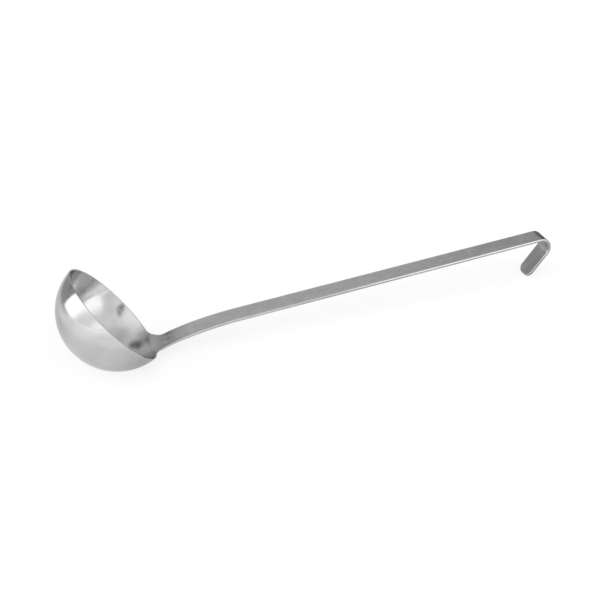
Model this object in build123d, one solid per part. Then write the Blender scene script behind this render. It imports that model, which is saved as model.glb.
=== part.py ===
from build123d import *
import os
from math import asin, atan2, cos, degrees, hypot, radians, sin, sqrt

# A soup ladle of stainless steel, in millimetres: a deep round bowl whose wall runs up into a neck,
# a long flat strap handle with a hook at its end, and the ground weld that joins the two.
# It is drawn with the bowl upright, and is then turned to lie on the table on its bowl and hook.

# Bowl
bowl_width = 100.0             # across the rim, outside
bowl_depth = 45.8              # from the rim down to the lowest point, outside
bowl_wall = 1.2
rim_bevel_share = 0.35         # of the wall, on both edges of the rim

# Strap of the handle
strap_width = 17.5
strap_thickness = 2.8
strap_rounding_share = 0.3     # of the thickness, on all four long edges

# Lie of the handle: it climbs from the rim at this angle, in front of the rim's edge
handle_angle = 55.0            # degrees above the plane of the rim
handle_offset = 8.7            # from the rim's edge to the middle of the strap, square to the strap
straight_start = 78.0          # where the strap becomes straight, measured along it from the rim's edge
straight_end = 369.0           # where the hook begins, measured the same way

# Neck: where its middle line stands above the rim and outside the rim's edge
lip_height = 4.0
lip_reach = 2.3
root_height = 11.0
root_reach = 5.9
seam_height = 28.6
seam_reach = 13.8
shoulder_radius = 10.5         # of the hollow corners where the neck spreads into the rim
weld_width = 2.0

# Hook
hook_inner_radius = 8.7
hook_turn = 131.0              # degrees, towards the underside
hook_leg = 28.1                # from the end of the bend to the tip
tip_rounding = 6.5             # of the two corners of the tip

overrun = 5.0                  # how far a cutter goes past what it cuts
almost_nothing = 1e-6          # what a direction's share may differ from zero

# The bowl is part of a ball, inside and outside, with one centre a little above the rim
rim_radius = bowl_width / 2
ball_radius = (rim_radius ** 2 + bowl_depth ** 2) / (2 * bowl_depth)
ball_centre = ball_radius - bowl_depth
inner_ball_radius = ball_radius - bowl_wall
inner_rim_radius = sqrt(inner_ball_radius ** 2 - ball_centre ** 2)
rim_bevel = rim_bevel_share * bowl_wall
strap_rounding = strap_rounding_share * strap_thickness
half_width = strap_width / 2
half_thickness = strap_thickness / 2


def side(reach, height):
    """A point of the side view: reach along X, height along Z."""
    return Vector(reach, 0, height)


def above(direction):
    """The direction square to another one of the side view, towards the handle's upper face."""
    return Vector(-direction.Z, 0, direction.X)


along_handle = side(cos(radians(handle_angle)), sin(radians(handle_angle)))
handle_foot = side(rim_radius, 0) + above(along_handle) * handle_offset
shaft_start = handle_foot + along_handle * straight_start
shaft_end = handle_foot + along_handle * straight_end
wall_direction = side(ball_centre, rim_radius).normalized()

# Middle line of the neck and of the curved start of the strap, from the rim to the straight run
rim_middle = side((rim_radius + inner_rim_radius) / 2, 0)
lip = side(rim_radius + lip_reach, lip_height)
root = side(rim_radius + root_reach, root_height)
seam = side(rim_radius + seam_reach, seam_height)
neck = Spline(rim_middle, lip, root, seam, shaft_start, tangents=(wall_direction, along_handle))
seam_share = neck.param_at_point(seam)
seam_plane = Plane(origin=seam, x_dir=(0, 1, 0), z_dir=neck % seam_share)
strap_plane = seam_plane.offset(weld_width)
shaft_plane = Plane(origin=shaft_start, x_dir=(0, 1, 0), z_dir=along_handle)
seam_bend_radius = seam_plane.origin.X / seam_plane.z_dir.Z


def wall_curve(rim_point, side_sign):
    """One face of the neck in side view: the wall thickens from the rim to the seam."""
    points = [rim_point]
    for middle_point in (lip, root, seam, shaft_start):
        share = neck.param_at_point(middle_point)
        thickness = bowl_wall + (strap_thickness - bowl_wall) * min(share / seam_share, 1)
        points.append(middle_point + above(neck % share) * (side_sign * thickness / 2))
    return Spline(*points, tangents=(wall_direction, along_handle))


def bowl_with_collar():
    """The bowl with the neck's wall still standing all round, before it is trimmed."""
    outer_rim = side(rim_radius, 0)
    inner_rim = side(inner_rim_radius, 0)
    bottom = side(0, -bowl_depth)
    bottom_inside = side(0, bowl_wall - bowl_depth)
    half_way = radians(45)
    outer_middle = side(ball_radius * sin(half_way), ball_centre - ball_radius * cos(half_way))
    inner_middle = side(inner_ball_radius * sin(half_way), ball_centre - inner_ball_radius * cos(half_way))
    outer_neck = wall_curve(outer_rim, -1)
    inner_neck = wall_curve(inner_rim, 1)
    profile = make_face([
        ThreePointArc(bottom, outer_middle, outer_rim),
        outer_neck,
        Line(outer_neck @ 1, inner_neck @ 1),
        inner_neck,
        ThreePointArc(inner_rim, inner_middle, bottom_inside),
        Line(bottom_inside, bottom),
    ])
    return revolve(profile.rotate(Axis.Z, 180), Axis.Z)


def neck_outline():
    """Front view of the neck: parallel sides that spread into the rim in two hollow shoulders."""
    top = shaft_start.Z + overrun
    foot = half_width + shoulder_radius
    left_shoulder = RadiusArc((-foot, 0), (-half_width, shoulder_radius), -shoulder_radius)
    right_shoulder = RadiusArc((half_width, shoulder_radius), (foot, 0), -shoulder_radius)
    outline = make_face([
        left_shoulder,
        Line((-half_width, shoulder_radius), (-half_width, top)),
        Line((-half_width, top), (half_width, top)),
        Line((half_width, top), (half_width, shoulder_radius)),
        right_shoulder,
        Line((foot, 0), (-foot, 0)),
    ])
    return extrude(Plane.YZ * outline, shaft_start.X + overrun)


def trimmed_faces(shape):
    """The faces left by trimming: the rim, the shoulders and the sides of the neck."""
    return [face for face in shape.faces() if abs(face.normal_at().X) < almost_nothing]


def bowl():
    """The bowl trimmed to its rim and neck, cut square at the seam, with its edges broken."""
    reach = shaft_start.X + overrun
    height = shaft_start.Z + overrun
    above_rim = Box(2 * reach, 2 * reach, height, align=(Align.CENTER, Align.CENTER, Align.MIN))
    trimmed = bowl_with_collar() - (above_rim - neck_outline())
    beyond_seam = seam_plane * Box(2 * reach, 2 * reach, 2 * reach, align=(Align.CENTER, Align.CENTER, Align.MIN))
    bare = trimmed - beyond_seam
    edges = ShapeList(edge for face in trimmed_faces(bare) for edge in face.edges())
    return chamfer(edges.filter_by(GeomType.LINE, reverse=True), rim_bevel)


def hollow_section(plane):
    """Section across the strap where it still follows the bowl: hollow towards its upper face."""
    under_radius = seam_bend_radius + half_thickness
    upper_radius = seam_bend_radius - half_thickness
    under_edge = seam_bend_radius - sqrt(under_radius ** 2 - half_width ** 2)
    upper_edge = seam_bend_radius - sqrt(upper_radius ** 2 - half_width ** 2)
    outline = make_face([
        ThreePointArc((-half_width, under_edge), (0, -half_thickness), (half_width, under_edge)),
        Line((half_width, under_edge), (half_width, upper_edge)),
        ThreePointArc((half_width, upper_edge), (0, half_thickness), (-half_width, upper_edge)),
        Line((-half_width, upper_edge), (-half_width, under_edge)),
    ])
    return plane * fillet(outline.vertices(), strap_rounding)


def flat_section(plane):
    """Section across the flat strap, with its four corners rounded."""
    return plane * RectangleRounded(strap_width, strap_thickness, strap_rounding)


def weld():
    """The bead between bowl and strap, ground flush with both."""
    return extrude(hollow_section(seam_plane), weld_width)


def hook_line():
    """Middle line of the hook: the bend under the handle, then the straight leg up to its round tip."""
    bend_radius = hook_inner_radius + half_thickness
    bend_centre = shaft_end - above(along_handle) * bend_radius
    bend_plane = Plane(origin=bend_centre, x_dir=above(along_handle), z_dir=(0, 1, 0))
    bend = bend_plane * CenterArc((0, 0), bend_radius, 0, hook_turn)
    leg = Line(bend @ 1, bend @ 1 + (bend % 1) * (hook_leg - half_width))
    return bend, leg


def tip():
    """The end of the leg, half a strap's width long, lying flat: round corners, softened edges."""
    outline = Rectangle(strap_width, half_width, align=(Align.CENTER, Align.MIN))
    outline = fillet(outline.vertices().group_by(Axis.Y)[-1], tip_rounding)
    flat_tip = extrude(outline, half_thickness, both=True)
    edges = flat_tip.faces().filter_by(Axis.Z).edges()
    return fillet(edges.filter_by(lambda edge: edge.center().Y > strap_rounding), strap_rounding)


def handle():
    """The strap: its bend out of the neck, its long straight run, the hook and the round tip."""
    start = Spline(strap_plane.origin, shaft_start, tangents=(strap_plane.z_dir, along_handle))
    flattening = sweep([hollow_section(strap_plane), flat_section(shaft_plane)], path=start, multisection=True)
    bend, leg = hook_line()
    strap = sweep(flat_section(shaft_plane), path=Wire([Line(shaft_start, shaft_end), bend, leg]))
    tip_plane = Plane(origin=leg @ 1, x_dir=(0, 1, 0), z_dir=-above(leg % 1))
    return flattening + strap + tip_plane * tip()


def resting_tilt():
    """The turn about Y that brings the bowl's ball and the lower edge of the tip onto one level."""
    bend, leg = hook_line()
    leg_direction = leg % 1
    tip_end = bend @ 1 + leg_direction * hook_leg
    corner = tip_end - leg_direction * strap_rounding + above(leg_direction) * (half_thickness - strap_rounding)
    reach = corner.X
    rise = corner.Z - ball_centre
    return atan2(rise, reach) + asin((ball_radius - strap_rounding) / hypot(reach, rise))


pieces = {"bowl": bowl(), "neck_weld": weld(), "handle": handle()}

tilt = resting_tilt()
turned = [Rot(0, degrees(tilt), 0) * piece for piece in pieces.values()]
lift = ball_radius - ball_centre * cos(tilt)
middle = Compound(turned).bounding_box().center().X

os.makedirs("parts", exist_ok=True)
for name, piece in zip(pieces, turned):
    export_step(Pos(-middle, 0, lift) * piece, f"parts/{name}.step")
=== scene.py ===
import math
import bpy
import numpy as np
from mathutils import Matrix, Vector
from mathutils.geometry import delaunay_2d_cdt


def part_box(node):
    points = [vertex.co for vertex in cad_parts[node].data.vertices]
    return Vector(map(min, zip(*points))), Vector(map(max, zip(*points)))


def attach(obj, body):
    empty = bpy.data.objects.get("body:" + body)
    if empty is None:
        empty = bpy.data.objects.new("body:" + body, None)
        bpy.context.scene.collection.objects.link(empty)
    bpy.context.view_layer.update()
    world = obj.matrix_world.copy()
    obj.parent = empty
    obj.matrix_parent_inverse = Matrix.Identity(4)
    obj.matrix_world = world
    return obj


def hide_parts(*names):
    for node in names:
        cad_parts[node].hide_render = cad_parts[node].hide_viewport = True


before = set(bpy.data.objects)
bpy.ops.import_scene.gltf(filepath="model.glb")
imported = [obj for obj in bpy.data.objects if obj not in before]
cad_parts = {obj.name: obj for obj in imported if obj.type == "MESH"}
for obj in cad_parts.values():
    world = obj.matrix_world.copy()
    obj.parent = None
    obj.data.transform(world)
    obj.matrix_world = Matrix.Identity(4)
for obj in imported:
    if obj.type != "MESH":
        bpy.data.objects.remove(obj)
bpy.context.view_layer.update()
mm = 0.001
textureUnit = 100.0           # mm of a flat cut-out for one unit of its texture
print("frame loaded, nodes:", sorted(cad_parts))

# The ladle is drawn upright in millimetres, rim flat on z = 0, and then laid down on the table.
# Sheets are cut out flat first (u along, v across) and a function bends them into place.
# Side 1 is the face inside the bowl and on top of the strap, side -1 is the other face.

rounding = {
    "steps": 4,               # faces across a quarter of a rounded edge
    "rows": (0.5, 1.3),       # extra rows of points beside a rounded edge
    "rowGap": 0.25,           # the least room between such a row and the edge
    "innerGap": 0.55,         # from the last row to the evenly spaced points, in mesh steps
    "grainRoom": 0.3,         # on the cut-out, for the grain on an edge's upright part
    "wornReach": 0.9,         # how fast the rubbed look fades from an edge
}

# Bowl
bowl = {
    "rimWidth": 100.0,
    "depth": 45.8,
    "wall": 1.2,
    "rimRounding": 0.42,
    "rimPoints": 200,
    "meshStep": 2.0,          # size of the faces
}
rimRadius = bowl["rimWidth"] / 2
ballRadius = (rimRadius ** 2 + bowl["depth"] ** 2) / (2 * bowl["depth"])
ballCentre = ballRadius - bowl["depth"]
innerBall = ballRadius - bowl["wall"]
ballRun = ballRadius * math.acos(ballCentre / ballRadius)   # from the lowest point up to the rim

# Neck
neck = {
    "lip": (2.3, 4.0),        # middle of the wall: out from the rim, up from the rim
    "root": (5.9, 11.0),
    "seam": (13.8, 28.6),
    "shoulder": 10.5,         # hollow corners at the rim
    "shoulderPoints": 22,
    "sideStep": 0.9,          # between points up the neck's side
    "sideGap": (0.8, 0.4),    # left free above the shoulder and under the seam
    "rounder": (12, 26),      # heights between which the edges become as round as the strap's
    "turnReach": 6,           # how far along the wall its turn out of the ball is softened
    "turnWidth": (15, 22),    # across the neck it fades between these
}

# Strap and hook
strap = {
    "width": 17.5,
    "thick": 2.8,
    "rounding": 0.84,
    "angle": 55.0,            # climb above the rim
    "offset": 8.7,            # from the rim's edge, square to the strap
    "straightFrom": 78.0,
    "straightTo": 369.0,
    "meshStep": 1.7,
    "edgePoints": {"bend": 40, "straight": 150, "hook": 40, "leg": 14, "corner": 14},
}
hook = {
    "innerRadius": 8.7,
    "turn": 131.0,
    "leg": 28.1,
    "tipRounding": 6.5,
}
halfWidth = strap["width"] / 2
halfThick = strap["thick"] / 2

# Bead of the seam
seamBead = {
    "width": 2.0,
    "meshStep": 0.7,
    "sidePoints": 4,
    "endPoints": 20,
}


def upFrom(way):
    # square to a direction of the side view, towards the strap's upper face
    return np.stack([-way[..., 1], way[..., 0]], -1)


def smoothLine(points, startWay, endWay):
    # a curve through side view points; at(step) gives the point, at(step, True) the direction
    points = np.array(points, float)
    spans = np.linalg.norm(np.diff(points, axis=0), axis=1)
    matrix = np.eye(len(points))
    ways = np.zeros_like(points)
    ways[0] = startWay
    ways[-1] = endWay
    for i in range(1, len(points) - 1):
        before, after = spans[i - 1], spans[i]
        matrix[i, i - 1:i + 2] = after, 2 * (before + after), before
        stepBefore = after / before * (points[i] - points[i - 1])
        stepAfter = before / after * (points[i + 1] - points[i])
        ways[i] = 3 * (stepAfter + stepBefore)
    ways = np.linalg.solve(matrix, ways)

    def at(step, direction=False):
        step = np.asarray(step, float)
        i = np.clip(np.floor(step).astype(int), 0, len(spans) - 1)
        f = (step - i)[..., None]
        span = spans[i][..., None]
        if direction:
            way = 6 * (f * f - f) * (points[i] - points[i + 1])
            way = way + (3 * f * f - 4 * f + 1) * span * ways[i] + (3 * f * f - 2 * f) * span * ways[i + 1]
            return way / np.linalg.norm(way, axis=-1, keepdims=True)
        place = (2 * f ** 3 - 3 * f ** 2 + 1) * points[i] + (3 * f ** 2 - 2 * f ** 3) * points[i + 1]
        return place + span * ((f ** 3 - 2 * f ** 2 + f) * ways[i] + (f ** 3 - f ** 2) * ways[i + 1])

    return at


def lengthTable(at, lastStep, count=600):
    # steps along a curve and the length run up to each
    steps = np.linspace(0, lastStep, count)
    runs = np.linalg.norm(np.diff(at(steps), axis=0), axis=1)
    return steps, np.concatenate([[0], np.cumsum(runs)])


def ease(x):
    x = np.clip(x, 0, 1)
    return x * x * (3 - 2 * x)


# Neck: its middle line and its two faces in side view
strapWay = np.array([math.cos(math.radians(strap["angle"])), math.sin(math.radians(strap["angle"]))])
wallWay = np.array([ballCentre, rimRadius]) / ballRadius
innerRim = math.sqrt(innerBall ** 2 - ballCentre ** 2)
strapFoot = np.array([rimRadius, 0]) + upFrom(strapWay) * strap["offset"]
straightStart = strapFoot + strapWay * strap["straightFrom"]
straightEnd = strapFoot + strapWay * strap["straightTo"]
neckPoints = np.array([((rimRadius + innerRim) / 2, 0)]
                      + [(rimRadius + neck[k][0], neck[k][1]) for k in ("lip", "root", "seam")]
                      + [straightStart])
seamStep = 3                  # the seam is point 3 of the middle line
neckMiddle = smoothLine(neckPoints, wallWay, strapWay)
neckSteps, neckRuns = lengthTable(neckMiddle, seamStep + 0.4)   # a little past the seam
seamPlace = neckMiddle(seamStep)
seamWay = neckMiddle(seamStep, True)


def neckFace(side):
    # the wall thickens from the bowl's to the strap's
    spans = np.linalg.norm(np.diff(neckPoints, axis=0), axis=1)
    share = np.minimum(np.cumsum(spans) / spans[:seamStep].sum(), 1)
    thick = bowl["wall"] + (strap["thick"] - bowl["wall"]) * share
    up = upFrom(neckMiddle(np.arange(1, len(neckPoints)), True))
    rim = (innerRim, 0) if side > 0 else (rimRadius, 0)
    return smoothLine([rim, *(neckPoints[1:] + up * (side * thick / 2)[:, None])], wallWay, strapWay)


neckFaces = {1: neckFace(1), -1: neckFace(-1)}


def bowlSurface(flat, side):
    # bends the flat cut-out: a disc for the ball and a tongue for the neck
    run = np.hypot(flat[:, 0], flat[:, 1])
    turn = np.arctan2(flat[:, 1], flat[:, 0])
    radius = innerBall if side > 0 else ballRadius
    polar = np.minimum(run / ballRun, 1) * math.acos(ballCentre / radius)
    step = np.interp(run - ballRun, neckRuns, neckSteps)
    wall = neckFaces[side](step)
    onNeck = run > ballRun
    reach = np.where(onNeck, wall[:, 0], radius * np.sin(polar))
    height = np.where(onNeck, wall[:, 1], ballCentre - radius * np.cos(polar))
    straighten = ease((run - ballRun) / neck["shoulder"]) * (np.cos(turn) > 0.5)
    across = np.sin(turn) * (reach + (neckMiddle(step)[:, 0] - reach) * straighten)
    along = np.where(straighten > 0, np.sqrt(np.maximum(reach ** 2 - across ** 2, 0)), reach * np.cos(turn))
    return np.stack([along, across, height], 1)


def neckFlat(step, across):
    # the place on the flat cut-out of a point of the neck
    turn = np.arcsin(across / neckMiddle(step)[..., 0])
    run = ballRun + np.interp(step, neckSteps, neckRuns)
    return np.stack([run * np.cos(turn), run * np.sin(turn)], -1)


def seamFlat(across):
    # the same for a point in the plane of the seam
    step = np.full(len(across), float(seamStep))
    stretch = np.interp(seamStep, neckSteps[1:], np.diff(neckRuns) / np.diff(neckSteps))
    for _ in range(4):
        middle = neckMiddle(step)
        along = np.sqrt(middle[:, 0] ** 2 - across ** 2)
        miss = (along - seamPlace[0]) * seamWay[0] + (middle[:, 1] - seamPlace[1]) * seamWay[1]
        step = step - miss / stretch
    return neckFlat(step, across)


def seamLine(flat):
    # moves points of the cut-out along the neck onto the seam
    return seamFlat(seamPlace[0] * np.sin(np.arctan2(flat[:, 1], flat[:, 0])))


def onSeam(points):
    # moves points in space along the strap's way into the plane of the seam
    miss = (points[:, (0, 2)] - seamPlace) @ seamWay
    return points - miss[:, None] * (seamWay[0], 0, seamWay[1])


def bowlEdge():
    # the free edge: down one side of the neck, round the rim, and back up the other side
    heights = neckMiddle(neckSteps)[:, 1]
    low, high = neck["sideGap"]
    sideHeights = np.arange(neck["shoulder"] + low, seamPlace[1] - high, neck["sideStep"])
    side = neckFlat(np.interp(sideHeights, heights, neckSteps), np.full(len(sideHeights), halfWidth))
    angles = np.linspace(math.pi / 2, 0, neck["shoulderPoints"])
    shoulderHeights = neck["shoulder"] * (1 - np.cos(angles))
    shoulderAcross = halfWidth + neck["shoulder"] * (1 - np.sin(angles))
    shoulder = neckFlat(np.interp(shoulderHeights, heights, neckSteps), shoulderAcross)
    upper = np.concatenate([seamFlat(np.array([halfWidth])), side[::-1], shoulder])
    foot = math.atan2(*upper[-1][::-1])
    turns = np.linspace(foot, 2 * math.pi - foot, bowl["rimPoints"])[1:-1]
    rim = ballRun * np.stack([np.cos(turns), np.sin(turns)], 1)
    return np.concatenate([upper, rim, upper[::-1] * (1, -1)])


def bowlRounding(edge):
    # small at the rim, the strap's at the seam
    run = np.hypot(edge[:, 0], edge[:, 1]) - ballRun
    heights = neckMiddle(np.interp(run, neckRuns, neckSteps))[:, 1]
    low, high = neck["rounder"]
    blend = ease((heights - low) / (high - low))
    return bowl["rimRounding"] + (strap["rounding"] - bowl["rimRounding"]) * blend


# Strap: from the seam to the tip of the hook, its middle line in side view
strapStart = seamPlace + seamWay * seamBead["width"]
strapBend = smoothLine([strapStart, straightStart], seamWay, strapWay)
bendSteps, bendRuns = lengthTable(strapBend, 1)
hookRadius = hook["innerRadius"] + halfThick
hookTurn = math.radians(hook["turn"])
straightFrom = bendRuns[-1]
hookFrom = straightFrom + strap["straightTo"] - strap["straightFrom"]
legFrom = hookFrom + hookRadius * hookTurn
strapEnd = legFrom + hook["leg"]
hollowRadius = seamPlace[0] / seamWay[1]


def strapLine(run):
    # point and direction of the middle line at a length from the seam
    up = upFrom(strapWay)
    bend = strapBend(np.interp(run, bendRuns, bendSteps)) + seamWay * np.minimum(run, 0)[:, None]
    bendWay = strapBend(np.interp(run, bendRuns, bendSteps), True)
    straight = straightStart + strapWay * (run - straightFrom)[:, None]
    angle = np.clip((run - hookFrom) / hookRadius, 0, hookTurn)[:, None]
    hookWay = np.cos(angle) * strapWay - np.sin(angle) * up
    hooked = straightEnd - up * hookRadius + hookRadius * (np.cos(angle) * up + np.sin(angle) * strapWay)
    hooked = hooked + hookWay * np.maximum(run - legFrom, 0)[:, None]
    early = (run < straightFrom)[:, None]
    late = (run > hookFrom)[:, None]
    place = np.where(early, bend, np.where(late, hooked, straight))
    way = np.where(early, bendWay, np.where(late, hookWay, strapWay + 0 * straight))
    return place, way


def strapSurface(flat, side):
    # hollow across at the seam like the neck, flat where the straight run begins
    place, way = strapLine(flat[:, 0])
    hollow = 1 - np.clip(flat[:, 0] / straightFrom, 0, 1)
    rise = hollow * (hollowRadius - np.sqrt(hollowRadius ** 2 - flat[:, 1] ** 2)) + side * halfThick
    points = place + upFrom(way) * rise[:, None]
    return np.stack([points[:, 0], flat[:, 1], points[:, 1]], 1)


def strapEdge():
    # the free edge: along one side, round the tip, and back
    curve = hook["tipRounding"]
    counts = strap["edgePoints"]
    side = np.concatenate([
        np.linspace(0, straightFrom, counts["bend"])[:-1],
        np.linspace(straightFrom, hookFrom, counts["straight"])[:-1],
        np.linspace(hookFrom, legFrom, counts["hook"])[:-1],
        np.linspace(legFrom, strapEnd - curve, counts["leg"]),
    ])
    angles = np.linspace(0, math.pi / 2, counts["corner"])[1:]
    cornerRun = strapEnd - curve + curve * np.sin(angles)
    cornerAcross = halfWidth - curve + curve * np.cos(angles)
    half = np.concatenate([np.stack([side, np.full(len(side), halfWidth)], 1),
                           np.stack([cornerRun, cornerAcross], 1)])
    return np.concatenate([half, [(strapEnd, 0.0)], half[::-1] * (1, -1)])


def beadSurface(flat, side):
    rise = hollowRadius - np.sqrt(hollowRadius ** 2 - flat[:, 1] ** 2) + side * halfThick
    points = seamPlace + seamWay * flat[:, :1] + upFrom(seamWay) * rise[:, None]
    return np.stack([points[:, 0], flat[:, 1], points[:, 1]], 1)


def beadEdges():
    # the bead's two short sides
    run = np.linspace(0, seamBead["width"], seamBead["sidePoints"])
    across = np.full(len(run), halfWidth)
    return [np.stack([run, across], 1), np.stack([run[::-1], -across], 1)]


# Laying it down: the bowl's ball and the hook's tip touch the table
tipWay = math.cos(hookTurn) * strapWay - math.sin(hookTurn) * upFrom(strapWay)
tipPlace = strapLine(np.array([strapEnd]))[0][0]
tipCorner = tipPlace - tipWay * strap["rounding"] + upFrom(tipWay) * (halfThick - strap["rounding"])
tipRise = tipCorner[1] - ballCentre
tilt = math.atan2(tipRise, tipCorner[0])
tilt += math.asin((ballRadius - strap["rounding"]) / math.hypot(tipCorner[0], tipRise))
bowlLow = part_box("bowl")[0]
sideShift = bowlLow.x / mm + ballRadius - ballCentre * math.sin(tilt)
lift = bowlLow.z / mm + ballRadius - ballCentre * math.cos(tilt)
print("tilt %.3f degrees, shift %.3f mm, lift %.3f mm" % (math.degrees(tilt), sideShift, lift))


def turned(vectors):
    along = vectors[:, 0] * math.cos(tilt) + vectors[:, 2] * math.sin(tilt)
    up = vectors[:, 2] * math.cos(tilt) - vectors[:, 0] * math.sin(tilt)
    return np.stack([along, vectors[:, 1], up], 1)


def onTable(points):
    return (turned(points) + (sideShift, 0, lift)) * mm


# Normals and edges of a bent sheet
def unit(vectors):
    return vectors / np.linalg.norm(vectors, axis=-1, keepdims=True)


def slopes(surface, flat, side):
    small = 1e-3
    du = (surface(flat + (small, 0), side) - surface(flat - (small, 0), side)) / (2 * small)
    dv = (surface(flat + (0, small), side) - surface(flat - (0, small), side)) / (2 * small)
    return du, dv


def sheetNormals(surface, flat, side):
    du, dv = slopes(surface, flat, side)
    normals = unit(np.cross(du, dv))
    away = surface(flat, side) - surface(flat, -side)
    return normals * np.sign((normals * away).sum(1))[:, None]


def bowlNormals(surface, flat, side):
    # averaged where the wall turns out of the ball into the neck, so that reflections flow through
    normals = sheetNormals(surface, flat, side)
    reach = neck["turnReach"]
    low, high = neck["turnWidth"]
    run = np.hypot(flat[:, 0], flat[:, 1])
    nearRim = 1 - ease((np.abs(run - ballRun - reach / 2) - reach) / reach)
    onNeck = (1 - ease((np.abs(flat[:, 1]) - low) / (high - low))) * (flat[:, 0] > 0)
    outward = flat / np.maximum(run, 1e-6)[:, None]
    for share in (-1, -2 / 3, -1 / 3, 1 / 3, 2 / 3, 1):
        moved = flat + outward * (share * reach * nearRim * onNeck)[:, None]
        normals = normals + sheetNormals(surface, moved, side)
    return unit(normals)


def edgeFrame(surface, flat, side, inside):
    # at each point of a free edge: the way out of the sheet, the same on the cut-out, and the normal
    du, dv = slopes(surface, flat, side)
    ahead = np.gradient(flat, axis=0)
    normals = sheetNormals(surface, flat, side)
    outward = unit(np.cross(du * ahead[:, :1] + dv * ahead[:, 1:], normals))
    grid = np.stack([du, dv], -1)
    flatOut = np.einsum("nij,nj->ni", np.linalg.pinv(grid), outward)
    flip = np.sign((flatOut * (flat - inside)).sum(1))[:, None]
    return outward * flip, flatOut * flip, normals


# Points inside the cut-out
def insideOutline(points, loop, clear):
    # True for the points inside a closed outline and clear of it
    after = np.roll(loop, -1, 0)
    crosses = (loop[:, 1] > points[:, 1:]) != (after[:, 1] > points[:, 1:])
    rise = np.where(loop[:, 1] == after[:, 1], 1, after[:, 1] - loop[:, 1])
    where = loop[:, 0] + (points[:, 1:] - loop[:, 1]) / rise * (after[:, 0] - loop[:, 0])
    inside = (crosses & (points[:, :1] < where)).sum(1) % 2 == 1
    run = after - loop
    share = ((points[:, None] - loop) * run).sum(2) / np.maximum((run * run).sum(1), 1e-12)
    nearest = loop + np.clip(share, 0, 1)[..., None] * run
    return inside & (np.linalg.norm(points[:, None] - nearest, axis=2).min(1) > clear)


def latticeInside(loop, step, clear):
    # evenly spaced points inside the outline, tested in parts to save memory
    atOnce = 2000
    low, high = loop.min(0), loop.max(0)
    counts = np.maximum(np.round((high - low) / step), 1).astype(int)
    u, v = (np.linspace(low[i], high[i], counts[i] + 1) for i in (0, 1))
    points = np.stack(np.meshgrid(u, v, indexing="ij"), -1).reshape(-1, 2)
    parts = np.array_split(points, max(1, len(points) // atOnce))
    return np.concatenate([part[insideOutline(part, loop, clear)] for part in parts])


def triangulated(flat, count):
    # the first points are the outline, in order
    border = [(i, (i + 1) % count) for i in range(count)]
    cut = delaunay_2d_cdt([tuple(p) for p in flat], border, [], 1, 1e-6)
    source = [ids[0] for ids in cut[3]]
    return [[source[i] for i in face] for face in cut[2]]


# A piece of sheet is built from a dictionary: the function that bends it and the one for its normals,
# the free edges on the cut-out, their roundings, how many points cross the square end after each edge,
# a point in the middle, and the size of the faces. endLine and endPlane move a square end's points
# exactly into the seam.

def addPoints(heap, flat, place, normal, worn):
    # the heap collects a piece's points; gives back their numbers
    first = len(heap["flats"])
    heap["flats"].extend(flat)
    heap["places"].extend(place)
    heap["normals"].extend(normal)
    heap["worn"].extend(worn)
    return list(range(first, first + len(flat)))


def faceOutline(sheet, side):
    # one face's outline inside its rounded edges, the rows beside it, and the edges' frames
    edges, roundings = sheet["edges"], sheet["roundings"]
    frames = [edgeFrame(sheet["surface"], edge, side, sheet["middle"]) for edge in edges]
    starts = [edges[k] - frames[k][1] * roundings[k][:, None] for k in range(len(edges))]
    parts, rows, rowWorn = [], [], []
    for k, edge in enumerate(edges):
        for row in rounding["rows"]:
            rows.append(edge - frames[k][1] * (roundings[k] + row)[:, None])
            rowWorn.append(np.full(len(edge), math.exp(-row / rounding["wornReach"])))
        share = np.linspace(0, 1, sheet["endCounts"][k] + 2)[1:-1, None]
        end = starts[k][-1] * (1 - share) + starts[(k + 1) % len(edges)][0] * share
        parts += [starts[k], sheet["endLine"](end) if "endLine" in sheet else end]
    return np.concatenate(parts), np.concatenate(rows), np.concatenate(rowWorn), frames


def roundedEdge(heap, sheet, k, frames, upperRim, underRim):
    # rows of points over one rounded edge, from the upper face round to the under face
    edge, radius, steps = sheet["edges"][k], sheet["roundings"][k], rounding["steps"]
    rows = [upperRim]
    for side in (1, -1):
        outward, flatOut, up = frames[side][k]
        centre = sheet["surface"](edge, side) - (up + outward) * radius[:, None]
        for i in (range(1, steps + 1) if side > 0 else range(steps, 0, -1)):
            angle = math.pi / 2 * i / steps
            normal = up * math.cos(angle) + outward * math.sin(angle)
            spread = radius * (math.sin(angle) - 1)
            if side < 0 and i == steps:
                spread = spread + rounding["grainRoom"]
            flat = edge + flatOut * spread[:, None]
            place = centre + normal * radius[:, None]
            rows.append(addPoints(heap, flat, place, normal, np.ones(len(edge))))
    return [*rows, underRim]


def facedOutward(places, normals, faces):
    # turns round each face that looks against its points' normals; a square end looks away from the middle
    middle = places.mean(0)
    for face in faces:
        if len(face) > 4:
            ring = places[face] - places[face].mean(0)
            looks = np.cross(ring, np.roll(ring, -1, 0)).sum(0) @ (places[face].mean(0) - middle)
        else:
            a, b, c = places[face[0]], places[face[1]], places[face[2]]
            looks = np.cross(b - a, c - a) @ normals[face].sum(0)
        if looks < 0:
            face.reverse()
    return faces


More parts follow.
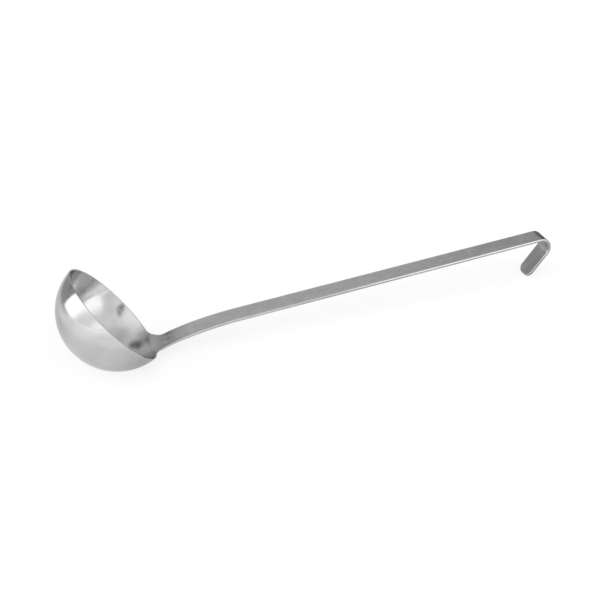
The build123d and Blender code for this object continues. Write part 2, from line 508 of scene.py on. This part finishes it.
def sheetMesh(name, heap, places, normals, faces, slots, squareEnds):
    mesh = bpy.data.meshes.new(name)
    mesh.from_pydata([tuple(p) for p in places], [], faces)
    mesh.update()
    mesh.polygons.foreach_set("material_index", slots)
    mesh.polygons.foreach_set("use_smooth", [True] * len(faces))
    corners = np.zeros(len(mesh.loops), np.int32)
    mesh.loops.foreach_get("vertex_index", corners)
    loopNormals = normals[corners]
    for f in squareEnds:
        polygon = mesh.polygons[f]
        loopNormals[list(polygon.loop_indices)] = polygon.normal
    mesh.normals_split_custom_set([tuple(n) for n in loopNormals])
    layer = mesh.uv_layers.new(name="cutOut")
    texture = np.array(heap["flats"])[corners] / textureUnit
    layer.uv.foreach_set("vector", texture.astype(np.float32).ravel())
    worn = mesh.attributes.new("wear", "FLOAT", "POINT")
    worn.data.foreach_set("value", np.array(heap["worn"], np.float32))
    return mesh


def sheetPiece(name, sheet, materials):
    # one closed piece; materials for the outer face, the inner or upper face, and the edges
    surface, counts = sheet["surface"], sheet["endCounts"]
    heap = {"flats": [], "places": [], "normals": [], "worn": []}
    faces, slots, ends, loops, frames = [], [], [], {}, {}
    for side in (1, -1):
        loop, rows, rowWorn, frames[side] = faceOutline(sheet, side)
        if side == 1:
            clear = rounding["rows"][-1] + rounding["innerGap"] * sheet["meshStep"]
            kept = insideOutline(rows, loop, rounding["rowGap"])
            inner = latticeInside(loop, sheet["meshStep"], clear)
        flat = np.concatenate([loop, rows[kept], inner])
        if side == 1:
            triangles = triangulated(flat, len(loop))
        worn = np.concatenate([np.ones(len(loop)), rowWorn[kept], np.zeros(len(inner))])
        normals = sheet["normals"](surface, flat, side)
        numbers = addPoints(heap, flat, surface(flat, side), normals, worn)
        loops[side] = numbers[:len(loop)]
        faces += [[numbers[i] for i in face] for face in triangles]
        slots += [0 if side < 0 else 1] * len(triangles)

    first = 0
    edgeRows = []
    for k, edge in enumerate(sheet["edges"]):
        last = first + len(edge)
        rows = roundedEdge(heap, sheet, k, frames, loops[1][first:last], loops[-1][first:last])
        for a, b in zip(rows[:-1], rows[1:]):
            faces += [[a[i], a[i + 1], b[i + 1], b[i]] for i in range(len(edge) - 1)]
            slots += [2] * (len(edge) - 1)
        edgeRows.append(rows)
        ends.append((last, last + counts[k]))
        first = last + counts[k]
    for k, (low, high) in enumerate(ends):
        after = edgeRows[(k + 1) % len(edgeRows)]
        faces.append([row[-1] for row in edgeRows[k]][::-1] + loops[1][low:high]
                     + [row[0] for row in after] + loops[-1][low:high][::-1])
        slots.append(1)
    squareEnds = range(len(faces) - len(ends), len(faces))

    places = np.array(heap["places"])
    if "endPlane" in sheet:
        for f in squareEnds:
            places[faces[f]] = sheet["endPlane"](places[faces[f]])
    places, normals = onTable(places), turned(np.array(heap["normals"]))
    faces = facedOutward(places, normals, faces)

    mesh = sheetMesh(name, heap, places, normals, faces, slots, squareEnds)
    for material in materials:
        mesh.materials.append(material)
    piece = bpy.data.objects.new(name, mesh)
    bpy.context.scene.collection.objects.link(piece)
    print(name, len(places), "points", len(faces), "faces")
    return piece


# Short ways to write shader nodes
def addNode(tree, kind, inputs=None, **settings):
    made = tree.nodes.new("ShaderNode" + kind)
    for key, value in settings.items():
        setattr(made, key, value)
    for socket, value in (inputs or {}).items():
        if isinstance(value, bpy.types.NodeSocket):
            tree.links.new(value, made.inputs[socket])
        else:
            made.inputs[socket].default_value = value
    return made


def calc(tree, operation, *values):
    return addNode(tree, "Math", dict(enumerate(values)), operation=operation).outputs[0]


def eased(tree, value, low, high, lowGives=0.0, highGives=1.0):
    ends = {"Value": value, "From Min": low, "From Max": high, "To Min": lowGives, "To Max": highGives}
    return addNode(tree, "MapRange", ends, interpolation_type="SMOOTHSTEP").outputs["Result"]


def overlaid(tree, first, second, level, patches):
    # Patches laid over each other on two axes: value, from and to on the first axis, the same on the
    # second, each with the width of its soft edge, and how far the patch leans on the first axis.
    for value, left, right, low, high, lean in patches:
        leaning = calc(tree, "MULTIPLY_ADD", second, lean, first)
        mask = 1.0
        for axis, (place, soft), before, after in ((leaning, left, 0, 1), (leaning, right, 1, 0),
                                                   (second, low, 0, 1), (second, high, 1, 0)):
            fade = eased(tree, axis, place - soft / 2, place + soft / 2, before, after)
            mask = calc(tree, "MULTIPLY", mask, fade)
        level = addNode(tree, "Mix", {"Factor": mask, "A": level, "B": value}).outputs[0]
    return level


def grain(tree, place, scale, turn=0.0, detail=2.0, shift=0.0):
    # noise stretched by a scale for each axis, turned about the sheet's normal
    laid = addNode(tree, "Mapping", {"Vector": place, "Rotation": (0, 0, turn), "Scale": scale,
                                     "Location": (shift, shift, shift)})
    noise = addNode(tree, "TexNoise", {"Vector": laid.outputs[0], "Scale": 1.0, "Detail": detail})
    return noise.outputs["Fac"]


# What all finishes share
marking = {
    "ringSpread": 0.35,       # how much a ring's grain changes on its way round
    "broad": (0.7, 0.23),     # grain of the broad lines against the fine ones: along, across
    "broadDepth": 1.5,        # and their depth
    "cloudLevel": (0.3, 0.7),
    "streakLevel": (0.35, 0.65),
    "scratchLevel": (0.66, 0.72),   # only the peaks of the grain show as scratches
    "scratchGrain": 5,        # along a scratch, per 100 mm
    "scratchRough": 0.06,
    "scratchDepth": 0.0007,   # mm
    "blue": 0.992,            # a little warmer than grey
}

# Where the finish, the painted shade and the painted highlight change: on the bowl in mm past the rim, on the
# strap in mm from the seam. Each is the start and the end of a soft change.
zones = {
    "linesTurn": (-14, 3),      # rings round the bowl turn into lines up the neck
    "shadeAndSpotsFrom": (-2, 7),        # painted shade and more spots at the neck's root
    "shadeAndSpotsTo": (24, 14),
    "lean": (-7, 7),            # the inside leans out at the rim
    "highlightFrom": (105, 195),   # painted highlight on the strap's edges towards the hook
    "highlightTo": (375, 340),
}


# A lay-out gives the place measured along and across the polishing lines and, from 0 to 1, whether it is on
# the neck, how much painted shade and extra spotting it has there, and whether it is past the rim.
def alongStrap(tree, flat):
    along, across, _ = addNode(tree, "SeparateXYZ", {0: flat}).outputs
    return addNode(tree, "CombineXYZ", {"X": along, "Z": across}).outputs[0], 0.0, 0.0, 0.0


def acrossStrap(tree, flat):
    # as the bead was ground
    along, across, _ = addNode(tree, "SeparateXYZ", {0: flat}).outputs
    return addNode(tree, "CombineXYZ", {"X": across, "Z": along}).outputs[0], 0.0, 0.0, 0.0


def roundTheBowl(tree, flat):
    # rings round the lowest point; on the neck they turn into lines that run up it
    outward = addNode(tree, "VectorMath", {0: flat}, operation="NORMALIZE").outputs[0]
    run = addNode(tree, "VectorMath", {0: flat}, operation="LENGTH").outputs["Value"]
    ringRun = addNode(tree, "CombineXYZ", {"Z": run}).outputs[0]
    spread = (marking["ringSpread"], marking["ringSpread"], 0)
    rings = addNode(tree, "VectorMath", {0: outward, 1: spread, 2: ringRun}, operation="MULTIPLY_ADD")
    lines = alongStrap(tree, flat)[0]
    along = addNode(tree, "SeparateXYZ", {0: flat}).outputs[0]
    upNeck = calc(tree, "MULTIPLY_ADD", along, textureUnit, -ballRun)
    pastRim = calc(tree, "MULTIPLY_ADD", run, textureUnit, -ballRun)
    onNeck = eased(tree, upNeck, *zones["linesTurn"])
    shadeAndSpotsFrom = eased(tree, upNeck, *zones["shadeAndSpotsFrom"])
    shadeAndSpotsTo = eased(tree, upNeck, *zones["shadeAndSpotsTo"])
    neckShadeAndSpots = calc(tree, "MULTIPLY", shadeAndSpotsFrom, shadeAndSpotsTo)
    opened = eased(tree, pastRim, *zones["lean"])
    place = addNode(tree, "Mix", {"Factor": onNeck, "A": rings.outputs[0], "B": lines}, data_type="VECTOR")
    return place.outputs[1], onNeck, neckShadeAndSpots, opened


def steelMarks(tree, look, flat, place):
    # polishing lines, clouds, dents and scratches, each from 0 to 1
    fine, long, _ = look["lines"]
    broadLong, broadFine = marking["broad"]
    dentGrain = (textureUnit / look["dents"][0], textureUnit / look["dents"][1], 1)
    length = marking["scratchGrain"]
    scratch = 0.0
    for turn, count in look["scratches"]:
        found = grain(tree, flat, (length, count, length), turn=turn, detail=1.0, shift=turn)
        scratch = calc(tree, "ADD", scratch, eased(tree, found, *marking["scratchLevel"]))
    return {
        "lines": grain(tree, place, (long, long, fine), detail=3.0),
        "broad": grain(tree, place, (long * broadLong, long * broadLong, fine * broadFine), shift=3.1),
        "cloud": grain(tree, flat, (look["cloud"],) * 3, detail=3.0, shift=1.7),
        "dents": grain(tree, flat, dentGrain, detail=2.5, shift=5.3),
        "scratch": scratch,
    }


def steelGrey(tree, look, marks, flat, worn, neckShadeAndSpots):
    # a slow drift, spots with the dents, lighter where hands and tools have rubbed the edges, painted shade
    # at the neck's root, and a painted highlight on the strap's edges towards the hook
    grey = calc(tree, "MULTIPLY_ADD", marks["cloud"], look["drift"], look["grey"] - look["drift"] / 2)
    spots = calc(tree, "MULTIPLY_ADD", neckShadeAndSpots, look["neckSpots"], look["spots"])
    grey = calc(tree, "MULTIPLY_ADD", calc(tree, "SUBTRACT", marks["dents"], 0.5), spots, grey)
    grey = calc(tree, "MULTIPLY_ADD", worn, look["worn"], grey)
    # painted shade: darker where the neck rises out of the bowl
    grey = calc(tree, "MULTIPLY_ADD", neckShadeAndSpots, look["neckPaintedShade"], grey)
    along = addNode(tree, "SeparateXYZ", {0: flat}).outputs[0]
    begin = eased(tree, along, *(mark / textureUnit for mark in zones["highlightFrom"]))
    end = eased(tree, along, *(mark / textureUnit for mark in zones["highlightTo"]))
    # painted highlight along the strap's edges towards the hook
    grey = calc(tree, "MULTIPLY_ADD", calc(tree, "MULTIPLY", begin, end), look["paintedHighlightTowardsHook"], grey)
    blue = calc(tree, "MULTIPLY", grey, marking["blue"])
    return addNode(tree, "CombineColor", {0: grey, 1: grey, 2: blue}).outputs[0]


def steelRoughness(tree, look, marks, worn, onNeck):
    rough = eased(tree, marks["cloud"], *marking["cloudLevel"], *look["roughness"])
    streaks = eased(tree, marks["broad"], *marking["streakLevel"], -look["streaks"], look["streaks"])
    rough = calc(tree, "ADD", rough, streaks)
    rough = calc(tree, "MULTIPLY_ADD", marks["scratch"], marking["scratchRough"], rough)
    rough = calc(tree, "MULTIPLY_ADD", onNeck, look["neckRough"], rough)
    return calc(tree, "MULTIPLY_ADD", worn, -look["rubbed"], rough)


def steelRelief(tree, look, marks, opened):
    # heights in mm
    lineDepth, dentDepth = look["lines"][2], look["dents"][2]
    height = calc(tree, "MULTIPLY", marks["lines"], lineDepth)
    height = calc(tree, "MULTIPLY_ADD", marks["broad"], lineDepth * marking["broadDepth"], height)
    height = calc(tree, "MULTIPLY_ADD", marks["dents"], dentDepth, height)
    height = calc(tree, "MULTIPLY_ADD", marks["scratch"], -marking["scratchDepth"], height)
    height = calc(tree, "MULTIPLY_ADD", opened, look["lean"], height)
    return addNode(tree, "Bump", {"Height": height, "Distance": mm, "Strength": 1.0}).outputs[0]


def steel(name, look, layOut):
    material = bpy.data.materials.new(name)
    material.use_nodes = True
    tree = material.node_tree
    shader = tree.nodes["Principled BSDF"]
    shader.inputs["Metallic"].default_value = 1
    shader.inputs["IOR"].default_value = 2.5
    flat = addNode(tree, "UVMap", uv_map="cutOut").outputs["UV"]
    worn = addNode(tree, "Attribute", attribute_name="wear").outputs["Fac"]
    place, onNeck, neckShadeAndSpots, opened = layOut(tree, flat)
    marks = steelMarks(tree, look, flat, place)
    tree.links.new(steelGrey(tree, look, marks, flat, worn, neckShadeAndSpots), shader.inputs["Base Color"])
    tree.links.new(steelRoughness(tree, look, marks, worn, onNeck), shader.inputs["Roughness"])
    tree.links.new(steelRelief(tree, look, marks, opened), shader.inputs["Normal"])
    return material


polished = {
    "grey": 0.56,
    "drift": 0.08,                     # slow change of grey
    "spots": 0.03,                     # change of grey with the dents
    "worn": 0.03,                      # lighter at the edges
    "roughness": (0.10, 0.14),
    "streaks": 0.015,                  # change of roughness along the lines
    "rubbed": 0.02,                    # smoother at the edges
    "lines": (260, 2.5, 0.0005),       # lines per 100 mm across them, along them, depth in mm
    "cloud": 7,                        # clouds per 100 mm
    "dents": (7.0, 5.0, 0.004),        # length, width and depth in mm
    "scratches": ((0.5, 150), (1.9, 190)),   # direction, how many per 100 mm
    "neckPaintedShade": -0.04,                 # painted shade at the neck's root; the neck is also duller and more spotted than the bowl
    "neckRough": 0.10,
    "neckSpots": 0.0,
    "paintedHighlightTowardsHook": 0.0,                # painted highlight on the half towards the hook
    "lean": 0.0,                       # how far the wall leans out at the rim, mm
}
rimEdge = {
    **polished,
    "roughness": (0.16, 0.22),
}
satin = {
    **polished,
    "drift": 0.12,
    "roughness": (0.12, 0.17),
    "streaks": 0.03,
    "lines": (200, 2.0, 0.0009),
    "cloud": 9,
    "dents": (8.0, 6.0, 0.006),
    "neckPaintedShade": -0.12,
    "neckRough": 0.14,
    "neckSpots": 0.3,
    "lean": -0.6,
}
tumbled = {
    **polished,
    "grey": 0.59,
    "drift": 0.14,
    "spots": 0.24,
    "worn": 0.04,
    "roughness": (0.26, 0.33),
    "streaks": 0.03,
    "rubbed": 0.06,
    "lines": (230, 3.0, 0.0012),
    "cloud": 8,
    "dents": (7.0, 2.4, 0.008),
    "scratches": ((0.3, 120), (-0.4, 150), (1.5, 140)),
    "neckPaintedShade": 0.0,
    "neckRough": 0.0,
}
rounded = {
    **tumbled,
    "grey": 0.57,
    "spots": 0.10,
    "roughness": (0.22, 0.28),
    "dents": (6.0, 3.0, 0.002),
    # painted highlight on the strap's rounded edges towards the hook
    "paintedHighlightTowardsHook": 0.24,
}
ground = {
    **tumbled,
    "grey": 0.58,
    "roughness": (0.28, 0.34),
    "lines": (420, 8.0, 0.0012),
    "dents": (2.5, 2.0, 0.003),
}
outsideSteel = steel("polishedOutside", polished, roundTheBowl)
insideSteel = steel("satinInside", satin, roundTheBowl)
rimSteel = steel("rim", rimEdge, roundTheBowl)
strapSteel = steel("tumbledStrap", tumbled, alongStrap)
strapEdgeSteel = steel("roundedStrapEdge", rounded, alongStrap)
seamSteel = steel("groundSeam", ground, acrossStrap)
print("steels made")

edge = bowlEdge()
bowlPiece = sheetPiece("bowlBody", {
    "surface": bowlSurface,
    "normals": bowlNormals,
    "edges": [edge],
    "roundings": [bowlRounding(edge)],
    "endCounts": [9],
    "endLine": seamLine,
    "endPlane": onSeam,
    "middle": np.zeros(2),
    "meshStep": bowl["meshStep"],
}, [outsideSteel, insideSteel, rimSteel])

edge = strapEdge()
strapPiece = sheetPiece("strapHandle", {
    "surface": strapSurface,
    "normals": sheetNormals,
    "edges": [edge],
    "roundings": [np.full(len(edge), strap["rounding"])],
    "endCounts": [9],
    "middle": np.array([strapEnd / 2, 0]),
    "meshStep": strap["meshStep"],
}, [strapSteel, strapSteel, strapEdgeSteel])

edges = beadEdges()
beadPiece = sheetPiece("seamBead", {
    "surface": beadSurface,
    "normals": sheetNormals,
    "edges": edges,
    "roundings": [np.full(len(edge), strap["rounding"]) for edge in edges],
    "endCounts": [seamBead["endPoints"]] * 2,
    "middle": np.array([seamBead["width"] / 2, 0]),
    "meshStep": seamBead["meshStep"],
}, [seamSteel] * 3)

for piece, node in ((bowlPiece, "bowl"), (strapPiece, "handle"), (beadPiece, "neck_weld")):
    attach(piece, "root")
    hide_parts(node)

# Camera: stands in front of the bowl, looks down and to the right
view = {
    "place": (-0.28770, -0.71857, 0.53634),
    "azimuth": 20.500,
    "down": 33.789,
    "lens": 63.04,
    "sensor": 36,
}
cameraData = bpy.data.cameras.new("camera")
cameraData.lens = view["lens"]
cameraData.sensor_width = view["sensor"]
camera = bpy.data.objects.new("camera", cameraData)
bpy.context.scene.collection.objects.link(camera)
camera.location = view["place"]
camera.rotation_euler = (math.radians(90 - view["down"]), 0, -math.radians(view["azimuth"]))
bpy.context.scene.camera = camera
bpy.context.scene.view_settings.view_transform = "Standard"

# Floor: white to the camera; to the steel it glows with painted light, brighter at the front, with painted
# shadows under the ladle and at the back
everywhere = 9.0              # a patch that reaches past the floor on that side, in metres
floor = {
    "reach": 1.2,
    "whiteGlow": 0.78,        # to the camera; the paint keeps the shadow
    "whitePaint": 0.30,
    "paint": 0.5,             # to the steel
    # painted light: the floor glows to the steel, though it is no lamp
    "glow": 0.52,
    "patches": [              # painted glow, across from and to, along from and to, lean
        (0.64, (-everywhere, 1), (-0.36, 0.16), (-everywhere, 1), (0.16, 0.14), 0),     # painted pool of light by the left softbox
        (0.82, (-everywhere, 1), (-0.32, 0.16), (-everywhere, 1), (-0.02, 0.12), 0),
        (0.80, (-everywhere, 1), (-0.10, 0.20), (-everywhere, 1), (-0.22, 0.16), 0),
        (1.35, (-0.02, 0.30), (everywhere, 1), (-everywhere, 1), (-0.24, 0.20), 0),     # painted pool of light by the right softbox
        (1.02, (-everywhere, 1), (-0.46, 0.16), (-0.75, 0.20), (-0.22, 0.14), 0),
        (0.68, (-0.34, 0.10), (-0.19, 0.03), (-0.20, 0.08), (-0.10, 0.03), 0),
        (0.36, (-0.181, 0.05), (-0.145, 0.04), (-0.090, 0.06), (-0.02, 0.03), 0),       # painted shadow under the bowl
        (0.42, (-0.228, 0.05), (-0.180, 0.03), (-0.034, 0.02), (0.00, 0.02), 0),
        (0.80, (-0.15, 0.06), (-0.06, 0.10), (-0.16, 0.08), (-0.062, 0.02), 0),
        (0.27, (-0.185, 0.05), (-0.06, 0.10), (-0.054, 0.03), (0.10, 0.10), 0),         # painted shadow under the neck
        (0.34, (-0.34, 0.08), (-0.20, 0.10), (0.03, 0.08), (0.25, 0.10), 0),
        (0.05, (0.00, 0.16), (everywhere, 1), (-0.22, 0.10), (everywhere, 1), 0),       # painted shadow under the handle
        (0.28, (0.02, 0.10), (0.25, 0.06), (-0.22, 0.06), (-0.07, 0.04), 0),
        (0.00, (-everywhere, 1), (everywhere, 1), (0.30, 0.36), (everywhere, 1), 0),    # painted shade, dark at the back
    ],
}


def floorMaterial():
    material = bpy.data.materials.new("floor")
    material.use_nodes = True
    tree = material.node_tree
    tree.nodes.remove(tree.nodes["Principled BSDF"])
    seen = addNode(tree, "LightPath").outputs["Is Camera Ray"]
    geometry = addNode(tree, "NewGeometry")
    across, along, _ = addNode(tree, "SeparateXYZ", {0: geometry.outputs["Position"]}).outputs
    # the floor's painted light and painted shadows, as the steel sees them
    paintedFloorLight = overlaid(tree, across, along, floor["glow"], floor["patches"])
    glow = addNode(tree, "Mix", {"Factor": seen, "A": paintedFloorLight, "B": floor["whiteGlow"]})
    grey = addNode(tree, "Mix", {"Factor": seen, "A": floor["paint"], "B": floor["whitePaint"]})
    paint = addNode(tree, "BsdfDiffuse", {"Color": grey.outputs[0]})
    light = addNode(tree, "Emission", {"Strength": glow.outputs[0]})
    both = addNode(tree, "AddShader", {0: paint.outputs[0], 1: light.outputs[0]})
    clear = addNode(tree, "BsdfTransparent")      # from underneath
    under = geometry.outputs["Backfacing"]
    sides = addNode(tree, "MixShader", {0: under, 1: both.outputs[0], 2: clear.outputs[0]})
    tree.links.new(sides.outputs[0], tree.nodes["Material Output"].inputs["Surface"])
    return material


reach = floor["reach"]
floorMesh = bpy.data.meshes.new("floor")
floorMesh.from_pydata([(-reach, -reach, 0), (reach, -reach, 0), (reach, reach, 0), (-reach, reach, 0)], [],
                      [(0, 1, 2, 3)])
floorMesh.materials.append(floorMaterial())
floorPiece = bpy.data.objects.new("floor", floorMesh)
bpy.context.scene.collection.objects.link(floorPiece)
print("floor laid")

# Studio: white to the camera. To the steel it is a soft grey room, azimuth 0 behind the ladle
# and 90 to its right.
studio = {
    "room": 0.80,
    "panels": [               # level, azimuth from and to, height from and to, lean, in degrees
        (0.66, (-180, 1), (180, 1), (80, 14), (91, 1), 0),              # ceiling
        (0.99, (118, 10), (180, 1), (-20, 5), (62, 16), 0),             # open front
        (1.10, (-180, 1), (-60, 10), (-20, 5), (68, 14), 0),
        (1.32, (-158, 16), (-98, 14), (34, 16), (58, 12), 0),
        (1.50, (-154, 10), (-122, 14), (-20, 5), (9, 14), 0),
        (1.25, (-118, 12), (-50, 10), (18, 14), (44, 16), 0),
        (1.79, (-88, 18), (-30, 2), (-20, 2), (28, 6), 0.8),            # left softbox
        (0.90, (-92, 14), (-58, 14), (50, 10), (70, 12), 0),
        (0.39, (-55.3, 3), (112, 10), (-30, 5), (60, 22), 0.35),        # back wall
        (0.27, (-48, 4), (-38, 6), (10, 8), (36, 12), 0),
        (0.14, (-47, 16), (-18, 12), (45, 10), (68, 14), 0),
        (0.58, (-20, 14), (26, 10), (22, 12), (56, 12), 0),
        (0.63, (-14, 10), (6, 14), (28, 12), (50, 12), 0),
        (0.08, (35, 8), (108, 10), (-20, 5), (29, 12), 0),
        (1.72, (120, 10), (160, 14), (-20, 5), (22, 26), 0),            # right softbox
        (0.24, (-172.5, 4), (-162.5, 4), (27, 5), (45, 6), 0),          # the camera
    ],
}
world = bpy.data.worlds.new("studio")
bpy.context.scene.world = world
world.use_nodes = True
tree = world.node_tree
way = addNode(tree, "SeparateXYZ", {0: addNode(tree, "TexCoord").outputs["Generated"]})
azimuth = calc(tree, "MULTIPLY", calc(tree, "ARCTAN2", way.outputs[0], way.outputs[1]), 180 / math.pi)
upward = calc(tree, "MULTIPLY", calc(tree, "ARCSINE", way.outputs[2]), 180 / math.pi)
room = overlaid(tree, azimuth, upward, studio["room"], studio["panels"])
seen = addNode(tree, "LightPath").outputs["Is Camera Ray"]
level = addNode(tree, "Mix", {"Factor": seen, "A": room, "B": 1.0}).outputs[0]
tree.nodes["Background"].inputs["Color"].default_value = (1, 1, 1, 1)
tree.links.new(level, tree.nodes["Background"].inputs["Strength"])

# A lamp inside the left softbox, in degrees as seen from the bowl; the glow is how bright it looks,
# 1 is white
softbox = {
    "left": -84,
    "right": -66,
    "low": 3,
    "high": 18,
    "distance": 1.0,
    "glow": 1.79,
    "facing": (-0.18, 0, 0.05),
}
lampData = bpy.data.lights.new("leftBox", "AREA")
lampData.shape = "RECTANGLE"
lampData.size = 2 * softbox["distance"] * math.tan(math.radians(softbox["right"] - softbox["left"]) / 2)
lampData.size_y = 2 * softbox["distance"] * math.tan(math.radians(softbox["high"] - softbox["low"]) / 2)
lampData.energy = softbox["glow"] * math.pi * lampData.size * lampData.size_y
azimuth = math.radians((softbox["left"] + softbox["right"]) / 2)
upward = math.radians((softbox["low"] + softbox["high"]) / 2)
out = Vector((math.sin(azimuth) * math.cos(upward), math.cos(azimuth) * math.cos(upward), math.sin(upward)))
lamp = bpy.data.objects.new("leftBox", lampData)
bpy.context.scene.collection.objects.link(lamp)
lamp.location = Vector(softbox["facing"]) + out * softbox["distance"]
lamp.rotation_mode = "QUATERNION"
lamp.rotation_quaternion = out.to_track_quat("Z", "Y")
lamp.visible_camera = False
print("studio made")
